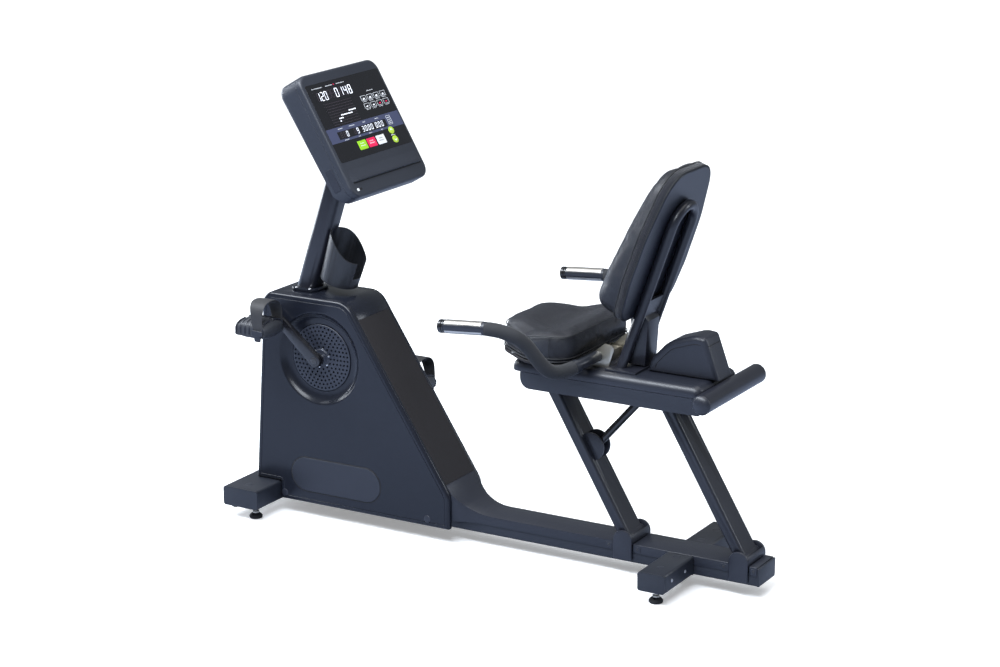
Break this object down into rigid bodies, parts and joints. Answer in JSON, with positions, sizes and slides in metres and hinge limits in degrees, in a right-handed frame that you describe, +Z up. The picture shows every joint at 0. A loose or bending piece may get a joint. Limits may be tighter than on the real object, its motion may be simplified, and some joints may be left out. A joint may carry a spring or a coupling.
{
  "type": "recumbent exercise bike",
  "caption": "Step-through recumbent exercise bike with a drive casing, console on a mast, and a padded seat carriage on parallel swing arms.",
  "frame": {"origin": "centre of the overall box, on the ground under the levelling feet", "axes": "+X to the rear (seat end), +Y to the rider's right, +Z up"},
  "size_m": [1.642, 0.7188, 1.3161],
  "materials": {
    "rail_paint": "satin powder coat",
    "foot_paint": "satin powder coat",
    "deck_plastic": "fine texture",
    "casing_plastic": "satin moulded",
    "panel_plastic": "coarse matt texture",
    "console_plastic": "fine spark texture",
    "crank_paint": "gloss black",
    "disc_plastic": "semi gloss",
    "pedal_plastic": "moulded",
    "strap_rubber": "moulded",
    "foot_rubber": "moulded",
    "foam_grip": "closed-cell foam",
    "display_gloss": "printed overlay",
    "green_key": "printed",
    "red_key": "printed",
    "white_key": "printed",
    "lime_key": "printed",
    "board_green": "solder mask",
    "bright_steel": "ground",
    "chrome": "polished",
    "zinc_plate": "yellow zinc",
    "belt_rubber": "ribbed",
    "leather": "grained upholstery",
    "strut_black": "gloss black"
  },
  "bodies": {
    "base": {"base_rail": "rail_paint", "tube_end_caps": "foot_paint", "front_stabiliser": "foot_paint", "rear_stabiliser": "foot_paint", "front_deck_cover": "deck_plastic", "rear_deck_cover": "deck_plastic", "pivot_housings": "deck_plastic", "lower_pivot_pins": "bright_steel", "drive_frame": "rail_paint", "crank_bearings": "bright_steel", "left_side_panel": "casing_plastic", "right_side_panel": "casing_plastic", "spine_cover": "casing_plastic", "rear_panel": "panel_plastic", "drive_belt": "belt_rubber", "mast": "rail_paint", "mast_collar": "casing_plastic", "bottle_holder": "console_plastic", "console_shell": "console_plastic", "console_bezel": "console_plastic", "display_panel": "display_gloss", "console_board": "board_green"},
    "front_left_foot": {"levelling_foot_front_left": "foot_rubber"},
    "front_right_foot": {"levelling_foot_front_right": "foot_rubber"},
    "rear_left_foot": {"levelling_foot_rear_left": "foot_rubber"},
    "rear_right_foot": {"levelling_foot_rear_right": "foot_rubber"},
    "left_wheel": {"transport_wheel_left": "foot_rubber"},
    "right_wheel": {"transport_wheel_right": "foot_rubber"},
    "crank": {"crank_axle": "bright_steel", "drive_pulley": "disc_plastic", "crank_arm_left": "crank_paint", "crank_arm_right": "crank_paint", "perforated_discs": "disc_plastic"},
    "left_pedal": {"pedal_left": "pedal_plastic", "pedal_strap_left": "strap_rubber"},
    "right_pedal": {"pedal_right": "pedal_plastic", "pedal_strap_right": "strap_rubber"},
    "flywheel": {"flywheel": "bright_steel"},
    "start_button": {"start_key": "green_key"},
    "stop_button": {"stop_key": "red_key"},
    "enter_button": {"enter_key": "white_key"},
    "level_up_button": {"level_up_key": "lime_key"},
    "level_down_button": {"level_down_key": "lime_key"},
    "front_swing_arm": {"front_leg": "rail_paint"},
    "rear_swing_arm": {"rear_leg": "rail_paint"},
    "strut_tube": {"strut_cylinder": "strut_black"},
    "strut_piston": {"strut_rod": "chrome"},
    "carriage": {"carriage_frame": "rail_paint", "carriage_cover": "deck_plastic", "strut_shroud": "deck_plastic", "lift_handle": "rail_paint", "upper_pivot_pins": "bright_steel", "seat_frame": "zinc_plate", "seat_cushion": "leather", "handlebar_left": "foam_grip", "handlebar_right": "foam_grip", "back_frame": "rail_paint", "back_shell": "panel_plastic", "back_cushion": "leather"},
    "lever": {"release_lever": "strut_black"}
  },
  "joints": [
    {"name": "crank_spin", "type": "hinge", "parent": "base", "child": "crank", "pos_m": [-0.553, 0, 0.49], "axis": [0, 1, 0], "continuous": true},
    {"name": "left_pedal_spin", "type": "hinge", "parent": "crank", "child": "left_pedal", "pos_m": [-0.68507, -0.2, 0.60481], "axis": [0, 1, 0], "continuous": true},
    {"name": "right_pedal_spin", "type": "hinge", "parent": "crank", "child": "right_pedal", "pos_m": [-0.42093, 0.2, 0.37519], "axis": [0, 1, 0], "continuous": true},
    {"name": "flywheel_spin", "type": "hinge", "parent": "base", "child": "flywheel", "pos_m": [-0.385, 0, 0.236], "axis": [0, 1, 0], "continuous": true},
    {"name": "front_arm_swing", "type": "hinge", "parent": "base", "child": "front_swing_arm", "pos_m": [0.413, 0, 0.1], "axis": [0, 1, 0], "range_deg": [0, 36]},
    {"name": "rear_arm_swing", "type": "hinge", "parent": "base", "child": "rear_swing_arm", "pos_m": [0.761, 0, 0.1], "axis": [0, 1, 0], "range_deg": [0, 36]},
    {"name": "carriage_level", "type": "hinge", "parent": "front_swing_arm", "child": "carriage", "pos_m": [0.15695, 0, 0.53295], "axis": [0, 1, 0], "range_deg": [-36, 0]},
    {"name": "strut_tilt", "type": "hinge", "parent": "front_swing_arm", "child": "strut_tube", "pos_m": [0.31101, 0, 0.35104], "axis": [0, 1, 0], "range_deg": [-36, 0]},
    {"name": "strut_stroke", "type": "slide", "parent": "strut_tube", "child": "strut_piston", "axis": [0.662, 0, 0.7495], "range_m": [0, 0.16]},
    {"name": "lever_lift", "type": "hinge", "parent": "carriage", "child": "lever", "pos_m": [0.22495, 0, 0.60295], "axis": [0, 1, 0], "range_deg": [0, 8], "stiffness_Nm_per_rad": 1.5, "springref_deg": -20.05},
    {"name": "front_left_foot_screw", "type": "slide", "parent": "base", "child": "front_left_foot", "axis": [0, 0, -1], "range_m": [0, 0.012]},
    {"name": "front_right_foot_screw", "type": "slide", "parent": "base", "child": "front_right_foot", "axis": [0, 0, -1], "range_m": [0, 0.012]},
    {"name": "rear_left_foot_screw", "type": "slide", "parent": "base", "child": "rear_left_foot", "axis": [0, 0, -1], "range_m": [0, 0.012]},
    {"name": "rear_right_foot_screw", "type": "slide", "parent": "base", "child": "rear_right_foot", "axis": [0, 0, -1], "range_m": [0, 0.012]},
    {"name": "left_wheel_roll", "type": "hinge", "parent": "base", "child": "left_wheel", "pos_m": [-0.794, -0.184, 0.049], "axis": [0, 1, 0], "continuous": true},
    {"name": "right_wheel_roll", "type": "hinge", "parent": "base", "child": "right_wheel", "pos_m": [-0.794, 0.184, 0.049], "axis": [0, 1, 0], "continuous": true},
    {"name": "start_press", "type": "slide", "parent": "base", "child": "start_button", "axis": [-0.8634, 0, -0.5045], "range_m": [0, 0.0008], "stiffness_N_per_m": 1500},
    {"name": "stop_press", "type": "slide", "parent": "base", "child": "stop_button", "axis": [-0.8634, 0, -0.5045], "range_m": [0, 0.0008], "stiffness_N_per_m": 1500},
    {"name": "enter_press", "type": "slide", "parent": "base", "child": "enter_button", "axis": [-0.8634, 0, -0.5045], "range_m": [0, 0.0008], "stiffness_N_per_m": 1500},
    {"name": "level_up_press", "type": "slide", "parent": "base", "child": "level_up_button", "axis": [-0.8634, 0, -0.5045], "range_m": [0, 0.0008], "stiffness_N_per_m": 1500},
    {"name": "level_down_press", "type": "slide", "parent": "base", "child": "level_down_button", "axis": [-0.8634, 0, -0.5045], "range_m": [0, 0.0008], "stiffness_N_per_m": 1500}
  ],
  "couplings": [
    {"joint": "flywheel_spin", "follows": "crank_spin", "ratio": 4},
    {"joint": "rear_arm_swing", "follows": "front_arm_swing", "ratio": 1},
    {"joint": "carriage_level", "follows": "front_arm_swing", "ratio": -1},
    {"joint": "strut_tilt", "follows": "front_arm_swing", "ratio": -0.81946},
    {"joint": "strut_stroke", "follows": "front_arm_swing", "m_per_rad": 0.22255}
  ]
}
